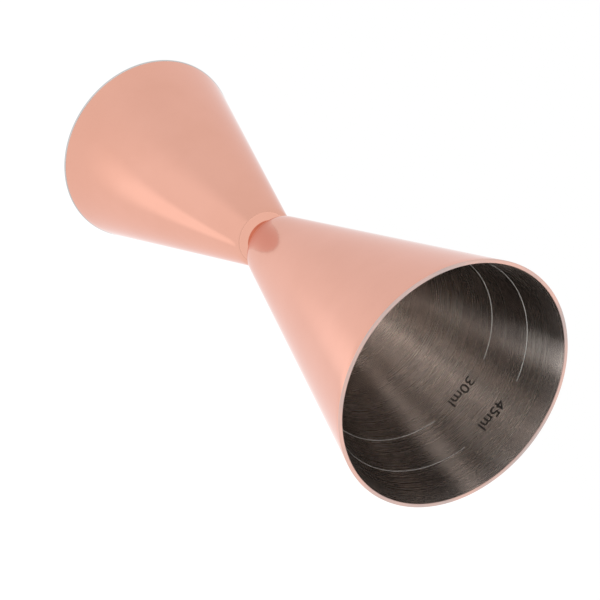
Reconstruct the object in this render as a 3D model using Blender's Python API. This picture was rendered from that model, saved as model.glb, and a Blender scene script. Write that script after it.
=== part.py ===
"""Conical bar jigger: a large and a small steel measuring cup, brazed together bottom to bottom.

All lengths are in metres. The axis is +Z: the small cup's mouth rests on z = 0, and the large cup's
mouth faces up. Both capacity lines run round the inside of the large cup, and break on its +Y side,
where their numbers stand.
"""

import math
from collections import namedtuple

import bmesh
import bpy
from mathutils import Vector

Cup = namedtuple("Cup", "mouth_radius neck_to_mouth half_angle corner_radius")
CapacityLine = namedtuple("CapacityLine", "depth half_break")

# Cups. The mouth radius is where the outer wall would meet the mouth's plane if the lip were sharp,
# and the half angle is the wall's, from the axis.
LARGE = Cup(0.02618, 0.0700, math.radians(15.64), 0.0039)
SMALL = Cup(0.02108, 0.0541, math.radians(15.73), 0.0039)
WALL = 0.0008
LIP_ROUNDING = 0.00025

# Joint at the neck. The gap is the clearance that each cup's bottom keeps to the braze.
BRAZE_RADIUS = 0.0045
BRAZE_THICKNESS = 0.0003
BRAZE_ROUNDING = 0.0001
GAP = 0.0003

# Capacity lines: axial depth below the large mouth, and half of the break that holds the number.
LINES = (
    CapacityLine(0.0179, math.radians(22)),
    CapacityLine(0.0092, math.radians(22)),
)
LINE_WIDTH = 0.0004
LINE_FLOOR_WIDTH = 0.0002
LINE_DEPTH = 0.00012

# Fineness of the solids
SEGMENTS = 96
CORNER_STEPS = 5
LIP_STEPS = 3
SAME_PLACE = 0.000001

HALF_JOINT = BRAZE_THICKNESS / 2 + GAP
NECK_HEIGHT = SMALL.neck_to_mouth

COPPER = (0.80, 0.42, 0.33, 1.0)
BRAZE_COPPER = (0.62, 0.25, 0.17, 1.0)


def clear_scene():
    for item in list(bpy.data.objects):
        bpy.data.objects.remove(item, do_unlink=True)


def metal(name, colour, roughness):
    material = bpy.data.materials.new(name)
    material.use_nodes = True
    shader = material.node_tree.nodes["Principled BSDF"]
    shader.inputs["Base Color"].default_value = colour
    shader.inputs["Metallic"].default_value = 1.0
    shader.inputs["Roughness"].default_value = roughness
    return material


def rounded_corner(before, corner, after, radius, steps):
    """The points of the arc that rounds a corner of an outline, from one side to the other."""
    to_before = (before - corner).normalized()
    to_after = (after - corner).normalized()
    half_corner = to_before.angle(to_after) / 2
    centre = corner + (to_before + to_after).normalized() * radius / math.sin(half_corner)
    start = corner + to_before * radius / math.tan(half_corner) - centre
    end = corner + to_after * radius / math.tan(half_corner) - centre
    turn = start.angle(end)
    return [
        centre
        + (start * math.sin(turn - turn * i / steps) + end * math.sin(turn * i / steps))
        / math.sin(turn)
        for i in range(steps + 1)
    ]


def outline(corners):
    """A profile through (point, rounding radius, steps) corners. Its first and last are on the axis."""
    points = [corners[0][0]]
    for i in range(1, len(corners) - 1):
        corner, radius, steps = corners[i]
        if radius:
            points += rounded_corner(
                corners[i - 1][0], corner, corners[i + 1][0], radius, steps
            )
        else:
            points.append(corner)
    points.append(corners[-1][0])
    return points


def cup_profile(cup, lines):
    """Half section (radius, height) of a cup that stands on its bottom, at height 0.

    It runs from the axis along the outside to the lip, and back down the inside to the axis.
    """
    height = cup.neck_to_mouth - HALF_JOINT
    slope = math.tan(cup.half_angle)
    lip_width = WALL / math.cos(cup.half_angle)

    def on_outer_wall(at_height):
        return Vector((cup.mouth_radius - (height - at_height) * slope, at_height))

    def on_inner_wall(at_height):
        return on_outer_wall(at_height) - Vector((lip_width, 0))

    corners = [
        (Vector((0, 0)), 0, 0),
        (on_outer_wall(0), cup.corner_radius, CORNER_STEPS),
        (on_outer_wall(height), LIP_ROUNDING, LIP_STEPS),
        (on_inner_wall(height), LIP_ROUNDING, LIP_STEPS),
    ]
    for line in sorted(lines, key=lambda each: each.depth):
        middle = height - line.depth
        for offset in (LINE_WIDTH / 2, LINE_FLOOR_WIDTH / 2):
            corners.append((on_inner_wall(middle + offset), 0, 0))
        for offset in (LINE_FLOOR_WIDTH / 2, LINE_WIDTH / 2):
            corners.append((on_inner_wall(middle - offset), 0, 0))
    corners += [
        (on_inner_wall(WALL), cup.corner_radius - WALL, CORNER_STEPS),
        (Vector((0, WALL)), 0, 0),
    ]
    return outline(corners)


def turned(profile):
    """A closed bmesh: the profile turned once round the Z axis."""
    mesh = bmesh.new()
    verts = [mesh.verts.new((point.x, 0, point.y)) for point in profile]
    edges = [mesh.edges.new(pair) for pair in zip(verts, verts[1:])]
    bmesh.ops.spin(
        mesh,
        geom=verts + edges,
        cent=(0, 0, 0),
        axis=(0, 0, 1),
        angle=math.tau,
        steps=SEGMENTS,
        use_merge=True,
    )
    bmesh.ops.remove_doubles(mesh, verts=mesh.verts, dist=SAME_PLACE)
    bmesh.ops.recalc_face_normals(mesh, faces=mesh.faces)
    return mesh


def engrave(mesh, cup, line):
    """Sinks the floor of one capacity line into the wall, all round but for its break at +Y."""
    middle = cup.neck_to_mouth - HALF_JOINT - line.depth
    for vert in mesh.verts:
        on_floor = abs(abs(vert.co.z - middle) - LINE_FLOOR_WIDTH / 2) < SAME_PLACE
        from_plus_y = abs(math.atan2(vert.co.x, vert.co.y))
        if on_floor and from_plus_y > line.half_break:
            outward = Vector((vert.co.x, vert.co.y, 0)).normalized()
            vert.co += outward * LINE_DEPTH


def add_part(name, mesh, material, parent):
    data = bpy.data.meshes.new(name)
    mesh.to_mesh(data)
    mesh.free()
    data.materials.append(material)
    data.shade_smooth()
    data.set_sharp_from_angle(angle=math.radians(30))
    part = bpy.data.objects.new(name, data)
    part.parent = parent
    bpy.context.scene.collection.objects.link(part)
    return part


def make_large_cup(neck):
    mesh = turned(cup_profile(LARGE, LINES))
    for line in LINES:
        engrave(mesh, LARGE, line)
    part = add_part("large_cup", mesh, metal("large_cup_copper", COPPER, 0.22), neck)
    part.location.z = HALF_JOINT


def make_small_cup(neck):
    mesh = turned(cup_profile(SMALL, ()))
    part = add_part("small_cup", mesh, metal("small_cup_copper", COPPER, 0.22), neck)
    part.rotation_euler.x = math.pi
    part.location.z = -HALF_JOINT


def make_neck_braze(neck):
    half = BRAZE_THICKNESS / 2
    profile = outline(
        [
            (Vector((0, -half)), 0, 0),
            (Vector((BRAZE_RADIUS, -half)), BRAZE_ROUNDING, 2),
            (Vector((BRAZE_RADIUS, half)), BRAZE_ROUNDING, 2),
            (Vector((0, half)), 0, 0),
        ]
    )
    add_part("neck_braze", turned(profile), metal("neck_braze", BRAZE_COPPER, 0.4), neck)


def main():
    clear_scene()
    neck = bpy.data.objects.new("neck", None)
    neck.location.z = NECK_HEIGHT
    bpy.context.scene.collection.objects.link(neck)
    make_large_cup(neck)
    make_small_cup(neck)
    make_neck_braze(neck)


main()
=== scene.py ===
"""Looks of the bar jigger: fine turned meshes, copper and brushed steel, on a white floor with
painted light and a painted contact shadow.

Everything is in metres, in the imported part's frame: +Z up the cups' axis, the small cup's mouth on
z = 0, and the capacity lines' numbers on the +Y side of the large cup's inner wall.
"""

import math

import bmesh
import bpy
from mathutils import Matrix, Vector


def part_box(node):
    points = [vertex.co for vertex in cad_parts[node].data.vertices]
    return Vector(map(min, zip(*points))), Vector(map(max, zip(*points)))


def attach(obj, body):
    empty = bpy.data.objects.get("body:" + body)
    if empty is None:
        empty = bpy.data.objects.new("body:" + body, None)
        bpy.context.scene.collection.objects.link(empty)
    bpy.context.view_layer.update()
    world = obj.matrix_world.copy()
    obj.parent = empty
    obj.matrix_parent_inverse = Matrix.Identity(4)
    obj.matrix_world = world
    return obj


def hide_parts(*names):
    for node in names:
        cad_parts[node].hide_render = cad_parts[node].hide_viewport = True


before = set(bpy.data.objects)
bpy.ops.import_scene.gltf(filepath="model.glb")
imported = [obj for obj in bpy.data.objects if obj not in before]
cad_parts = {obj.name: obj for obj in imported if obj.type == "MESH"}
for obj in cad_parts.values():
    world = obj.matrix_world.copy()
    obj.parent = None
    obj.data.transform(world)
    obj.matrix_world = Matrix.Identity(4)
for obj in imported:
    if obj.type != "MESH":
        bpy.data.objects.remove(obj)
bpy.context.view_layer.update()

# ---------------------------------------------------------------- sizes of the cups and the braze
# The wall, the angles, the corner radii and the lines' depths are those of the solids. The lip's
# rounding, the lines' width, sink and breaks, and the braze's shape differ from theirs.
WALL = 0.0008
PLATING = 0.00005
LARGE_HALF_ANGLE = math.radians(15.64)
SMALL_HALF_ANGLE = math.radians(15.73)
LARGE_CORNER_RADIUS = 0.0039
SMALL_CORNER_RADIUS = 0.0039
LIP_ROUNDING = 0.00034
BRAZE_RADIUS = 0.0043
BRAZE_CLEARANCE = 0.00002
BRAZE_HOLLOW = 0.0003
BRAZE_STEPS = 12

# Capacity lines, by number: depth below the mouth, and half of the break that holds the number
LINE_DEPTHS = {"30": 0.0179, "45": 0.0092}
LINE_HALF_BREAK = {"30": math.radians(22.8), "45": math.radians(20.8)}
LINE_WIDTH = 0.00018
LINE_SINK = 0.00007
LINE_EASE = 0.00002
# Where a groove's section has rows, from its upper edge (1) through its bottom (0) to its lower
# one. Rows inside LINE_EDGE are sunk, and a groove fades out over LINE_END at its two ends.
LINE_ROWS = (1.0, 0.85, 0.15, 0.0, -0.15, -0.85, -1.0)
LINE_EDGE = 0.99
LINE_END = math.radians(0.8)

# Numbers beside the lines. A figure takes FIGURE_SHARE of the font's size, and the rise is how far
# the number's top is above its line.
NUMBER_HEIGHT = 0.00212
FIGURE_SHARE = 0.69
NUMBER_FINENESS = 6
NUMBER_STRETCH = 1.15
NUMBER_WEIGHT = 0.000035
NUMBER_RISE = {"30": 0.0009, "45": 0.0006}
NUMBER_PROUD = 0.00002
NUMBER_SUNK = 0.00006

# Fineness of the meshes
SEGMENTS = 288
CORNER_STEPS = 14
LIP_STEPS = 8
WALL_ROWS = 30
HIDDEN_ROWS = 3
SAME_PLACE = 0.0000001

STEEL_ZONES = ["inside", "line"]
PLATING_ZONES = ["outside", "lip"]

# ---------------------------------------------------------------- colours and finishes
COPPER = (0.75, 0.395, 0.305, 1.0)
COPPER_DEEP = (0.71, 0.365, 0.275, 1.0)
EDGE_TINT = (0.96, 0.88, 0.88, 1.0)
RUBBED = (0.73, 0.46, 0.39, 1.0)
BARE = (0.51, 0.405, 0.38, 1.0)
STEEL = (0.55, 0.49, 0.455, 1.0)
STEEL_DARK = (0.46, 0.405, 0.37, 1.0)
STEEL_BRIGHT = (0.80, 0.77, 0.74, 1.0)
FROSTED = (0.95, 0.93, 0.90, 1.0)
MARK = (0.03, 0.026, 0.022, 1.0)
MARK_WORN = (0.05, 0.045, 0.04, 1.0)
FLOOR_DARK = (0.02, 0.02, 0.02, 1.0)
WHITE = (1.0, 1.0, 1.0, 1.0)

# Roughness from one end of a surface's noise to the other, and what fine polish or smudges add
COPPER_ROUGHNESS = (0.035, 0.065)
POLISH_ADDS = (-0.01, 0.02)
WORN_ROUGHNESS = (0.30, 0.42)
STEEL_ROUGHNESS = (0.31, 0.19)
SMUDGES_ADD = (-0.03, 0.05)
GROOVE_ROUGHNESS = (0.6, 0.75)
MARK_ROUGHNESS = (0.5, 0.7)

# Most of a noise's values are in this range.
NOISE_SPAN = (0.3, 0.7)
STROKE_SHARE = 0.6
# A quarter of a turn, so that highlights spread across the strokes, which run round the axis
STROKE_TURN = 0.25

# Heights of the finest relief
COPPER_WAVES = 0.00002
POLISH_MARKS = 0.0000004
RUB_MARKS = 0.000002
STEEL_STROKES = 0.00005
OXIDE_GRAIN = 0.00001

# ---------------------------------------------------------------- the studio
# The floor's even glow, the painted light that the +X side adds to it, a brighter painted pool of
# light there, and a painted contact shadow along the line of contact
FLOOR_RADIUS = 6.0
FLOOR_SIDES = 96
FLOOR_DROP = 0.00002
FLOOR_GLOW = 1.0
# Painted light: how much brighter the floor glows on its +X side
PAINTED_SIDE_LIGHT = 0.13
SIDE_EDGE = (-0.03, 0.04)
SIDE_TURN = 0.15
# Painted pool of light on the +X side of the floor
PAINTED_POOL_CENTRE = (0.074, -0.034)
PAINTED_POOL_REACH = (0.064, 0.027)
PAINTED_POOL_LIGHT = 0.22
PAINTED_POOL_CORE = 0.35
# Painted contact shadow: width and depth of the dim ring where the lip meets the floor
CONTACT_SHADOW_WIDTH = 0.00025
PAINTED_CONTACT_SHADOW = 0.55

# The world is white at the horizon, and fades over this band of elevations to a dim ceiling.
CEILING = 0.03
HORIZON_BAND = (5.0, 8.5)

SOFTBOX_DISTANCE = 1.2
# name: azimuth from -Y towards +X, elevation, width and height in degrees, radiance
SOFTBOXES = {
    "top": (0, 90, 24, 24, 8.0),
    "back_high": (145, 71, 36, 22, 2.6),
    "back_hot": (196, 69, 13, 22, 6.8),
    "key_low": (72.5, 17, 22, 36, 1.7),
    "key_foot": (65, 6, 20, 12, 1.1),
    "key_high": (79, 46, 18, 24, 2.4),
    "key_wing": (105, 12, 24, 24, 0.15),
    "fill": (-63, 46, 14, 24, 1.3),
    "side_high": (-130, 69, 11, 22, 1.4),
}
DOME_ACROSS = math.radians(167)
DOME_RADIANCE = 1.1

# The camera: where it stands, and which way its right and its up point
CAMERA_SENSOR = 36.0
CAMERA_LENS = 170.244
CAMERA_CLIP = (0.01, 50.0)
CAMERA_PLACE = Vector((0.00559, -0.37694, 0.51223))
CAMERA_RIGHT = Vector((-0.61881, 0.5963, 0.51138))
CAMERA_UP = Vector((-0.78554, -0.46973, -0.40283))

LARGE_LOW, LARGE_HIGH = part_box("large_cup")
SMALL_LOW, SMALL_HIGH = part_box("small_cup")


# ---------------------------------------------------------------- turned shapes
def rounded_corner(before, corner, after, radius, steps):
    """The points of the arc that rounds a corner of an outline, from one side to the other."""
    to_before = (before - corner).normalized()
    to_after = (after - corner).normalized()
    half_corner = to_before.angle(to_after) / 2
    centre = corner + (to_before + to_after).normalized() * radius / math.sin(half_corner)
    start = corner + to_before * radius / math.tan(half_corner) - centre
    end = corner + to_after * radius / math.tan(half_corner) - centre
    turn = start.angle(end)
    return [
        centre
        + (start * math.sin(turn - turn * i / steps) + end * math.sin(turn * i / steps))
        / math.sin(turn)
        for i in range(steps + 1)
    ]


def straight(start, end, rows):
    return [start.lerp(end, i / rows) for i in range(1, rows)]


class Cup:
    """One cup's section, standing on its bottom at height 0, with its mouth at the top."""

    def __init__(self, mouth_radius, height, half_angle, corner_radius):
        overhang = (1 + math.sin(half_angle)) / math.cos(half_angle) - 1
        self.mouth_radius = mouth_radius + LIP_ROUNDING * overhang
        self.height = height
        self.slope = math.tan(half_angle)
        self.lip_width = WALL / math.cos(half_angle)
        self.corner_radius = corner_radius

    def outer(self, at_height):
        return Vector((self.mouth_radius - (self.height - at_height) * self.slope, at_height))

    def inner(self, at_height):
        return self.outer(at_height) - Vector((self.lip_width, 0))

    def covering(self, inset):
        """[(point, zone)] of the outside and the lip, or of the surface this far under them."""
        top = self.height - inset
        sideways = Vector((inset / math.cos(math.atan(self.slope)), 0))
        foot = self.outer(inset) - sideways
        rim = self.outer(top) - sideways
        bottom_corner = rounded_corner(
            Vector((0, inset)), foot, rim, self.corner_radius - inset, CORNER_STEPS
        )
        outer_lip = rounded_corner(foot, rim, self.inner(top), LIP_ROUNDING - inset, LIP_STEPS)
        inner_lip = rounded_corner(
            rim, self.inner(top), self.inner(WALL), LIP_ROUNDING - inset, LIP_STEPS
        )
        points = [(Vector((0, inset)), "outside")]
        points += [(p, "outside") for p in bottom_corner]
        rows = HIDDEN_ROWS if inset else WALL_ROWS
        points += [(p, "outside") for p in straight(bottom_corner[-1], outer_lip[0], rows)]
        points.append((outer_lip[0], "outside"))
        points += [(p, "lip") for p in outer_lip[1:] + inner_lip]
        return points

    def plating(self):
        """The section of the copper layer, which covers the outside and the lip."""
        under = [(point, "outside") for point, _ in self.covering(PLATING)]
        return self.covering(0) + under[::-1]

    def steel(self, line_heights=()):
        """The section of the steel under the plating, with its capacity lines."""
        points = [(point, "inside") for point, _ in self.covering(PLATING)]
        inner_corner = rounded_corner(
            self.inner(self.height),
            self.inner(WALL),
            Vector((0, WALL)),
            self.corner_radius - WALL,
            CORNER_STEPS,
        )
        stops = [points[-1][0]]
        for height in sorted(line_heights, reverse=True):
            stops.append(self.inner(height + LINE_WIDTH / 2 + LINE_EASE))
            stops += [self.inner(height + offset * LINE_WIDTH / 2) for offset in LINE_ROWS]
            stops.append(self.inner(height - LINE_WIDTH / 2 - LINE_EASE))
        stops.append(inner_corner[0])
        for start, end in zip(stops, stops[1:]):
            rows = max(1, round(WALL_ROWS * (end - start).length / self.height))
            points += [(p, "inside") for p in straight(start, end, rows)]
            middle = (start.y + end.y) / 2
            in_line = any(abs(middle - height) < LINE_WIDTH / 2 for height in line_heights)
            points.append((end, "line" if in_line else "inside"))
        points += [(p, "inside") for p in inner_corner[1:]]
        points.append((Vector((0, WALL)), "inside"))
        return points


def turned(section, zones):
    """A closed bmesh of the section turned round Z. A face takes the zone of its section's end."""
    mesh = bmesh.new()
    rings = []
    for point, _ in section:
        if point.x < SAME_PLACE:
            rings.append([mesh.verts.new((0, 0, point.y))] * SEGMENTS)
            continue
        ring = []
        for i in range(SEGMENTS):
            angle = math.tau * i / SEGMENTS
            ring.append(
                mesh.verts.new((point.x * math.cos(angle), point.x * math.sin(angle), point.y))
            )
        rings.append(ring)
    for k in range(len(rings) - 1):
        zone = zones.index(section[k + 1][1])
        for i in range(SEGMENTS):
            j = (i + 1) % SEGMENTS
            corners = [rings[k][i], rings[k][j], rings[k + 1][j], rings[k + 1][i]]
            face = mesh.faces.new(list(dict.fromkeys(corners)))
            face.material_index = zone
            face.smooth = True
    bmesh.ops.recalc_face_normals(mesh, faces=mesh.faces)
    return mesh


def smooth_step(value):
    value = min(1.0, max(0.0, value))
    return value * value * (3 - 2 * value)


def from_plus_y(point):
    return abs(math.atan2(point.x, point.y))


def cut_line(mesh, cup, depth, half_break):
    """Sinks one capacity line into the inner wall, all round but for its break at +Y."""
    middle = cup.height - depth
    wall_radius = cup.inner(middle).x
    for vert in mesh.verts:
        across = abs(vert.co.z - middle) / (LINE_WIDTH / 2)
        if across < LINE_EDGE and abs(vert.co.to_2d().length - wall_radius) < WALL / 2:
            sink = LINE_SINK * (1 - across)
            sink *= smooth_step((from_plus_y(vert.co) - half_break) / LINE_END)
            vert.co += Vector((vert.co.x, vert.co.y, 0)).normalized() * sink
    for face in mesh.faces:
        if face.material_index == STEEL_ZONES.index("line"):
            centre = face.calc_center_median()
            if abs(centre.z - middle) < LINE_WIDTH and from_plus_y(centre) < half_break:
                face.material_index = STEEL_ZONES.index("inside")


# ---------------------------------------------------------------- pieces
def add_piece(name, mesh, materials, replaced=()):
    data = bpy.data.meshes.new(name)
    mesh.to_mesh(data)
    mesh.free()
    for material in materials:
        data.materials.append(material)
    piece = bpy.data.objects.new(name, data)
    bpy.context.scene.collection.objects.link(piece)
    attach(piece, "root")
    if replaced:
        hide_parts(*replaced)
    return piece


# ---------------------------------------------------------------- materials
class Nodes:
    """Short calls for building one material's nodes."""

    def __init__(self, owner):
        self.material = bpy.data.materials.new(owner) if isinstance(owner, str) else owner
        self.material.use_nodes = True
        self.tree = self.material.node_tree
        if isinstance(owner, str):
            self.shader = self.tree.nodes["Principled BSDF"]
            self.place = self.add("ShaderNodeTexCoord").outputs["Object"]

    def add(self, kind, inputs=None, **settings):
        node = self.tree.nodes.new(kind)
        for name, value in settings.items():
            setattr(node, name, value)
        for key, value in (inputs or {}).items():
            self.set(node.inputs[key], value)
        return node

    def set(self, socket, value):
        if isinstance(value, bpy.types.NodeSocket):
            self.tree.links.new(value, socket)
        else:
            socket.default_value = value

    def math(self, operation, a, b=0.0):
        return self.add("ShaderNodeMath", {0: a, 1: b}, operation=operation).outputs[0]

    def vector(self, operation, a, b=(0.0, 0.0, 0.0)):
        return self.add("ShaderNodeVectorMath", {0: a, 1: b}, operation=operation).outputs[0]

    def length(self, vector):
        node = self.add("ShaderNodeVectorMath", {0: vector}, operation="LENGTH")
        return node.outputs["Value"]

    def split(self, vector):
        return self.add("ShaderNodeSeparateXYZ", {"Vector": vector}).outputs

    def smooth(self, value, start, end):
        """0 at start and before, 1 at end and beyond, with a soft turn between."""
        node = self.add(
            "ShaderNodeMapRange",
            {"Value": value, "From Min": start, "From Max": end},
            interpolation_type="SMOOTHSTEP",
        )
        return node.outputs["Result"]

    def noise(self, vector, scale, detail, roughness):
        return self.add(
            "ShaderNodeTexNoise",
            {"Vector": vector, "Scale": scale, "Detail": detail, "Roughness": roughness},
        ).outputs["Fac"]

    def remap(self, value, before, after=(0.0, 1.0)):
        """Carries the range before, (low, high), to the range after, and stops at its ends."""
        return self.add(
            "ShaderNodeMapRange",
            {
                "Value": value,
                "From Min": before[0],
                "From Max": before[1],
                "To Min": after[0],
                "To Max": after[1],
            },
        ).outputs["Result"]

    def mix(self, share, a, b):
        node = self.add("ShaderNodeMix", data_type="RGBA")
        self.set(node.inputs[0], share)
        self.set(node.inputs[6], a)
        self.set(node.inputs[7], b)
        return node.outputs[2]

    def round_and_along(self, turns, per_metre):
        """Coordinates that run turns units round the axis per radian, and per_metre along it."""
        flat = self.vector("MULTIPLY", self.place, (1.0, 1.0, 0.0))
        unit = self.vector("NORMALIZE", flat)
        around = self.vector("MULTIPLY", unit, (turns, turns, 0.0))
        along = self.vector("MULTIPLY", self.place, (0.0, 0.0, per_metre))
        return self.vector("ADD", around, along)

    def bump(self, height, distance, strength, normal=None):
        node = self.add(
            "ShaderNodeBump", {"Height": height, "Distance": distance, "Strength": strength}
        )
        if normal is not None:
            self.set(node.inputs["Normal"], normal)
        return node.outputs["Normal"]


def copper_plating(name):
    """Polished plating: faint clouds in its colour and gloss, and a slight waviness."""
    n = Nodes(name)
    clouds = n.noise(n.place, scale=38.0, detail=4.0, roughness=0.6)
    round_axis = n.round_and_along(turns=3.0, per_metre=2600.0)
    polish = n.noise(round_axis, scale=1.0, detail=3.0, roughness=0.5)
    shade = n.remap(clouds, (0.35, 0.7))
    n.set(n.shader.inputs["Base Color"], n.mix(shade, COPPER, COPPER_DEEP))
    n.shader.inputs["Metallic"].default_value = 1.0
    n.shader.inputs["Specular Tint"].default_value = EDGE_TINT
    rough = n.remap(clouds, (0.3, 0.75), COPPER_ROUGHNESS)
    rough = n.math("ADD", rough, n.remap(polish, NOISE_SPAN, POLISH_ADDS))
    n.set(n.shader.inputs["Roughness"], rough)
    waves = n.noise(n.place, scale=60.0, detail=2.0, roughness=0.5)
    normal = n.bump(waves, COPPER_WAVES, strength=0.6)
    normal = n.bump(polish, POLISH_MARKS, strength=0.5, normal=normal)
    n.set(n.shader.inputs["Normal"], normal)
    return n.material


def worn_copper(name):
    """The lips: the plating is rubbed thin, so the steel shows through in patches."""
    n = Nodes(name)
    long_patches = n.round_and_along(turns=1.6, per_metre=900.0)
    rub = n.noise(long_patches, scale=1.0, detail=3.0, roughness=0.6)
    fine_marks = n.round_and_along(turns=60.0, per_metre=5000.0)
    fine = n.noise(fine_marks, scale=1.0, detail=2.0, roughness=0.5)
    n.set(n.shader.inputs["Base Color"], n.mix(n.remap(rub, (0.4, 0.62)), RUBBED, BARE))
    n.shader.inputs["Metallic"].default_value = 1.0
    n.set(n.shader.inputs["Roughness"], n.remap(fine, NOISE_SPAN, WORN_ROUGHNESS))
    n.set(n.shader.inputs["Normal"], n.bump(fine, RUB_MARKS, strength=0.4))
    return n.material


def brushed_steel(name):
    """The cups' insides: long strokes and finer hairs round the axis, and a few smudges."""
    n = Nodes(name)
    long_strokes = n.round_and_along(turns=0.12, per_metre=1300.0)
    strokes = n.noise(long_strokes, scale=1.0, detail=1.0, roughness=0.5)
    fine_hairs = n.round_and_along(turns=0.2, per_metre=3200.0)
    hairs = n.noise(fine_hairs, scale=1.0, detail=0.0, roughness=0.5)
    smudges = n.noise(n.place, scale=70.0, detail=3.0, roughness=0.6)
    strokes = n.math("MULTIPLY", strokes, STROKE_SHARE)
    both = n.math("ADD", strokes, n.math("MULTIPLY", hairs, 1.0 - STROKE_SHARE))
    share = n.remap(both, (0.35, 0.65))
    n.set(n.shader.inputs["Base Color"], n.mix(share, STEEL_DARK, STEEL))
    n.shader.inputs["Metallic"].default_value = 1.0
    n.shader.inputs["Anisotropic"].default_value = 1.0
    n.shader.inputs["Anisotropic Rotation"].default_value = STROKE_TURN
    rough = n.remap(both, NOISE_SPAN, STEEL_ROUGHNESS)
    rough = n.math("ADD", rough, n.remap(smudges, NOISE_SPAN, SMUDGES_ADD))
    n.set(n.shader.inputs["Roughness"], rough)
    n.set(n.shader.inputs["Normal"], n.bump(both, STEEL_STROKES, strength=0.5))
    tangent = n.add("ShaderNodeTangent", direction_type="RADIAL", axis="Z")
    n.set(n.shader.inputs["Tangent"], tangent.outputs["Tangent"])
    return n.material


def cut_steel(name):
    """The capacity lines: bright and frosted, as a cutter leaves them."""
    n = Nodes(name)
    cutter_marks = n.round_and_along(turns=40.0, per_metre=3000.0)
    chatter = n.noise(cutter_marks, scale=1.0, detail=2.0, roughness=0.5)
    n.set(n.shader.inputs["Base Color"], n.mix(chatter, STEEL_BRIGHT, FROSTED))
    n.shader.inputs["Metallic"].default_value = 1.0
    n.set(n.shader.inputs["Roughness"], n.remap(chatter, NOISE_SPAN, GROOVE_ROUGHNESS))
    return n.material


def laser_oxide(name):
    """The numbers: a dark, grainy oxide."""
    n = Nodes(name)
    grain = n.noise(n.place, scale=9000.0, detail=2.0, roughness=0.5)
    n.set(n.shader.inputs["Base Color"], n.mix(grain, MARK, MARK_WORN))
    n.shader.inputs["Metallic"].default_value = 0.0
    n.set(n.shader.inputs["Roughness"], n.remap(grain, NOISE_SPAN, MARK_ROUGHNESS))
    n.set(n.shader.inputs["Normal"], n.bump(grain, OXIDE_GRAIN, strength=0.4))
    return n.material


# ---------------------------------------------------------------- making the jigger
def make_large_cup(steel, groove, copper, worn):
    cup = Cup(
        LARGE_HIGH.x, LARGE_HIGH.z - LARGE_LOW.z, LARGE_HALF_ANGLE, LARGE_CORNER_RADIUS
    )
    body = turned(cup.steel([cup.height - depth for depth in LINE_DEPTHS.values()]), STEEL_ZONES)
    for name, depth in LINE_DEPTHS.items():
        cut_line(body, cup, depth, LINE_HALF_BREAK[name])
    plating = turned(cup.plating(), PLATING_ZONES)
    for mesh in (body, plating):
        bmesh.ops.translate(mesh, verts=mesh.verts, vec=(0, 0, LARGE_LOW.z))
    shell = add_piece("large_cup_shell", body, [steel, groove], ["large_cup"])
    skin = add_piece("large_cup_plating", plating, [copper, worn])
    return cup, shell, skin


def make_small_cup(steel, copper, worn):
    cup = Cup(
        SMALL_HIGH.x, SMALL_HIGH.z - SMALL_LOW.z, SMALL_HALF_ANGLE, SMALL_CORNER_RADIUS
    )
    body = turned(cup.steel(), STEEL_ZONES)
    plating = turned(cup.plating(), PLATING_ZONES)
    upside_down = Matrix.Rotation(math.pi, 3, "X")
    for mesh in (body, plating):
        bmesh.ops.rotate(mesh, verts=mesh.verts, cent=(0, 0, 0), matrix=upside_down)
        bmesh.ops.translate(mesh, verts=mesh.verts, vec=(0, 0, SMALL_HIGH.z))
    shell = add_piece("small_cup_shell", body, [steel], ["small_cup"])
    skin = add_piece("small_cup_plating", plating, [copper, worn])
    return cup, shell, skin


def bottom_height(cup, radius):
    """How far above the plane of a cup's flat bottom its rounded corner is, at this radius."""
    arc = rounded_corner(Vector((0, 0)), cup.outer(0), cup.outer(cup.height), cup.corner_radius, 1)
    inward = radius - arc[0].x
    return cup.corner_radius - math.sqrt(cup.corner_radius**2 - max(0.0, inward) ** 2)


def make_braze(large, small, material):
    """The braze as it flows: it wets both rounded bottoms, and its edge is hollow between them."""
    bottom = SMALL_HIGH.z - bottom_height(small, BRAZE_RADIUS) + BRAZE_CLEARANCE
    top = LARGE_LOW.z + bottom_height(large, BRAZE_RADIUS) - BRAZE_CLEARANCE
    section = []
    for i in range(BRAZE_STEPS + 1):
        radius = BRAZE_RADIUS * i / BRAZE_STEPS
        height = SMALL_HIGH.z - bottom_height(small, radius) + BRAZE_CLEARANCE
        section.append((Vector((radius, height)), "outside"))
    for i in range(1, BRAZE_STEPS):
        share = i / BRAZE_STEPS
        hollow = BRAZE_HOLLOW * math.sin(math.pi * share)
        height = bottom + (top - bottom) * share
        section.append((Vector((BRAZE_RADIUS - hollow, height)), "outside"))
    for i in range(BRAZE_STEPS, -1, -1):
        radius = BRAZE_RADIUS * i / BRAZE_STEPS
        height = LARGE_LOW.z + bottom_height(large, radius) - BRAZE_CLEARANCE
        section.append((Vector((radius, height)), "outside"))
    mesh = turned(section, PLATING_ZONES)
    return add_piece("neck_braze_joint", mesh, [material], ["neck_braze"])


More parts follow.
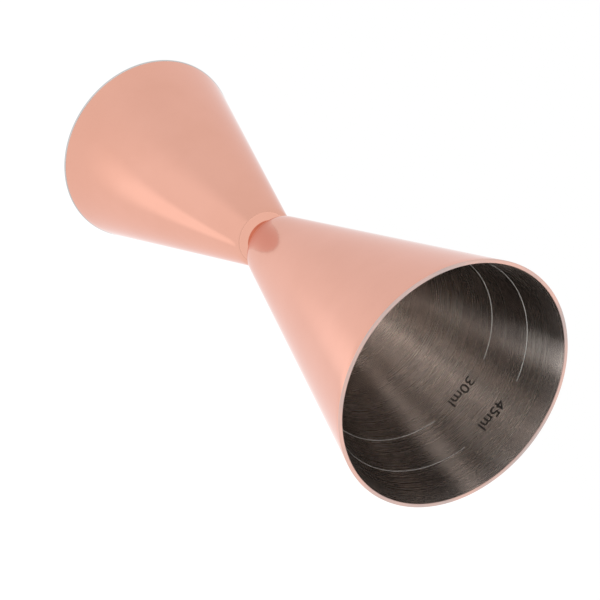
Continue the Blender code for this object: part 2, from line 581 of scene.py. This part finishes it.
def make_number(cup, name, material):
    """The number beside a capacity line, bent to the inner wall, its top towards the mouth."""
    curve = bpy.data.curves.new("number_" + name, "FONT")
    curve.body = name + "ml"
    curve.align_x = "CENTER"
    curve.align_y = "TOP"
    curve.size = NUMBER_HEIGHT / FIGURE_SHARE
    curve.extrude = (NUMBER_PROUD + NUMBER_SUNK) / 2 - NUMBER_WEIGHT
    curve.bevel_depth = NUMBER_WEIGHT
    curve.bevel_resolution = 1
    curve.resolution_u = NUMBER_FINENESS
    text = bpy.data.objects.new("number_" + name, curve)
    bpy.context.scene.collection.objects.link(text)
    depsgraph = bpy.context.evaluated_depsgraph_get()
    data = bpy.data.meshes.new_from_object(text.evaluated_get(depsgraph))
    bpy.data.objects.remove(text)
    mesh = bmesh.new()
    mesh.from_mesh(data)
    bmesh.ops.remove_doubles(mesh, verts=mesh.verts, dist=SAME_PLACE)
    line_height = cup.height - LINE_DEPTHS[name]
    for vert in mesh.verts:
        along, up, out = vert.co
        height = line_height + NUMBER_RISE[name] + up
        wall = cup.inner(height).x
        radius = wall - out - (NUMBER_PROUD - NUMBER_SUNK) / 2
        angle = math.pi / 2 - NUMBER_STRETCH * along / wall
        vert.co = (radius * math.cos(angle), radius * math.sin(angle), LARGE_LOW.z + height)
    bmesh.ops.recalc_face_normals(mesh, faces=mesh.faces)
    return add_piece("number_" + name + "ml", mesh, [material])


def make_floor():
    """A white light table that glows evenly, with painted light that makes it brighter on the +X
    side, a painted pool of light there, and a painted contact shadow that makes it dim where the lip
    touches it.
    """
    mesh = bmesh.new()
    bmesh.ops.create_circle(mesh, cap_ends=True, radius=FLOOR_RADIUS, segments=FLOOR_SIDES)
    data = bpy.data.meshes.new("floor")
    mesh.to_mesh(data)
    mesh.free()
    floor = bpy.data.objects.new("floor", data)
    floor.location.z = -FLOOR_DROP
    bpy.context.scene.collection.objects.link(floor)

    n = Nodes("floor_with_painted_light_and_shadow")
    x, y = n.split(n.place)[:2]
    # Painted light: the +X side of the floor glows brighter, as if a lamp fell on it.
    side = n.smooth(n.math("SUBTRACT", x, n.math("MULTIPLY", y, SIDE_TURN)), *SIDE_EDGE)
    glow = n.math("ADD", FLOOR_GLOW, n.math("MULTIPLY", side, PAINTED_SIDE_LIGHT))
    # Painted pool of light on the +X side, which the copper mirrors as a highlight band.
    offset = n.vector("SUBTRACT", n.place, (*PAINTED_POOL_CENTRE, 0.0))
    away = n.length(n.vector("DIVIDE", offset, (*PAINTED_POOL_REACH, 1.0)))
    glow = n.math("ADD", glow, n.math("MULTIPLY", n.smooth(away, 1.0, PAINTED_POOL_CORE), PAINTED_POOL_LIGHT))
    # Painted contact shadow: the glow is dimmed in a thin ring where the small cup's lip touches the
    # floor.
    from_lip = n.math("ABSOLUTE", n.math("SUBTRACT", n.length(n.place), SMALL_HIGH.x))
    painted_contact_shadow = n.math("MULTIPLY", n.smooth(from_lip, CONTACT_SHADOW_WIDTH, 0.0), PAINTED_CONTACT_SHADOW)
    glow = n.math("MULTIPLY", glow, n.math("SUBTRACT", 1.0, painted_contact_shadow))
    n.shader.inputs["Base Color"].default_value = FLOOR_DARK
    n.shader.inputs["Roughness"].default_value = 1.0
    n.shader.inputs["Specular IOR Level"].default_value = 0.0
    n.shader.inputs["Emission Color"].default_value = WHITE
    n.set(n.shader.inputs["Emission Strength"], glow)
    data.materials.append(n.material)


def make_world():
    """A white horizon under a dim ceiling."""
    world = bpy.data.worlds.new("studio")
    world.use_nodes = True
    bpy.context.scene.world = world
    n = Nodes(world)
    z = n.split(n.add("ShaderNodeTexCoord").outputs["Generated"])[2]
    elevation = n.math("MULTIPLY", n.math("ARCSINE", z), 180 / math.pi)
    background = n.tree.nodes["Background"]
    background.inputs["Color"].default_value = WHITE
    n.set(background.inputs["Strength"], n.remap(elevation, HORIZON_BAND, (1.0, CEILING)))


def from_above(azimuth, elevation):
    """The direction of a point in the studio. Azimuth is from -Y, towards +X."""
    a, e = math.radians(azimuth), math.radians(elevation)
    return Vector((math.sin(a) * math.cos(e), -math.cos(a) * math.cos(e), math.sin(e)))


def add_lamp(name, kind, direction, receivers):
    lamp = bpy.data.objects.new(name, bpy.data.lights.new(name, kind))
    bpy.context.scene.collection.objects.link(lamp)
    lamp.location = direction * SOFTBOX_DISTANCE + Vector((0, 0, LARGE_HIGH.z))
    lamp.rotation_euler = direction.to_track_quat("Z", "Y").to_euler()
    lamp.visible_camera = False
    lamp.light_linking.receiver_collection = receivers
    return lamp.data


def pieces_lit(name, pieces):
    collection = bpy.data.collections.new(name)
    for piece in pieces:
        collection.objects.link(piece)
    return collection


def make_lights(steel_pieces, copper_pieces):
    """Softboxes for the large cup's inside only, and a soft dome for the copper only.

    They are kept apart because the copper would mirror the dark gaps between the softboxes.
    """
    for_softboxes = pieces_lit("lit_by_softboxes", steel_pieces)
    for_dome = pieces_lit("lit_by_dome", copper_pieces)
    for name, (azimuth, elevation, width, height, radiance) in SOFTBOXES.items():
        light = add_lamp(name, "AREA", from_above(azimuth, elevation), for_softboxes)
        light.shape = "RECTANGLE"
        light.size = 2 * SOFTBOX_DISTANCE * math.tan(math.radians(width / 2))
        light.size_y = 2 * SOFTBOX_DISTANCE * math.tan(math.radians(height / 2))
        light.energy = radiance * math.pi * light.size * light.size_y
    dome = add_lamp("dome", "SUN", from_above(0, 90), for_dome)
    dome.angle = DOME_ACROSS
    dome.energy = DOME_RADIANCE * math.pi * math.sin(DOME_ACROSS / 2) ** 2


def make_camera():
    """A long lens that looks down from above the -Y side, rolled so that the jigger lies aslant."""
    camera = bpy.data.objects.new("camera", bpy.data.cameras.new("camera"))
    bpy.context.scene.collection.objects.link(camera)
    camera.data.sensor_width = CAMERA_SENSOR
    camera.data.lens = CAMERA_LENS
    camera.data.clip_start, camera.data.clip_end = CAMERA_CLIP
    back = CAMERA_RIGHT.cross(CAMERA_UP).normalized()
    up = back.cross(CAMERA_RIGHT).normalized()
    turn = Matrix((CAMERA_RIGHT.normalized(), up, back)).transposed()
    camera.matrix_world = Matrix.Translation(CAMERA_PLACE) @ turn.to_4x4()
    bpy.context.scene.camera = camera


# ---------------------------------------------------------------- the whole scene
copper = copper_plating("copper_plating")
worn = worn_copper("worn_copper")
steel = brushed_steel("brushed_steel")
groove = cut_steel("cut_steel")
oxide = laser_oxide("laser_oxide")
large, large_shell, large_plating = make_large_cup(steel, groove, copper, worn)
small, small_shell, small_plating = make_small_cup(steel, copper, worn)
braze_joint = make_braze(large, small, copper)
numbers = [make_number(large, number, oxide) for number in LINE_DEPTHS]
make_floor()
make_world()
make_lights(
    [large_shell, *numbers], [large_plating, small_shell, small_plating, braze_joint]
)
make_camera()
bpy.context.scene.view_settings.view_transform = "Standard"
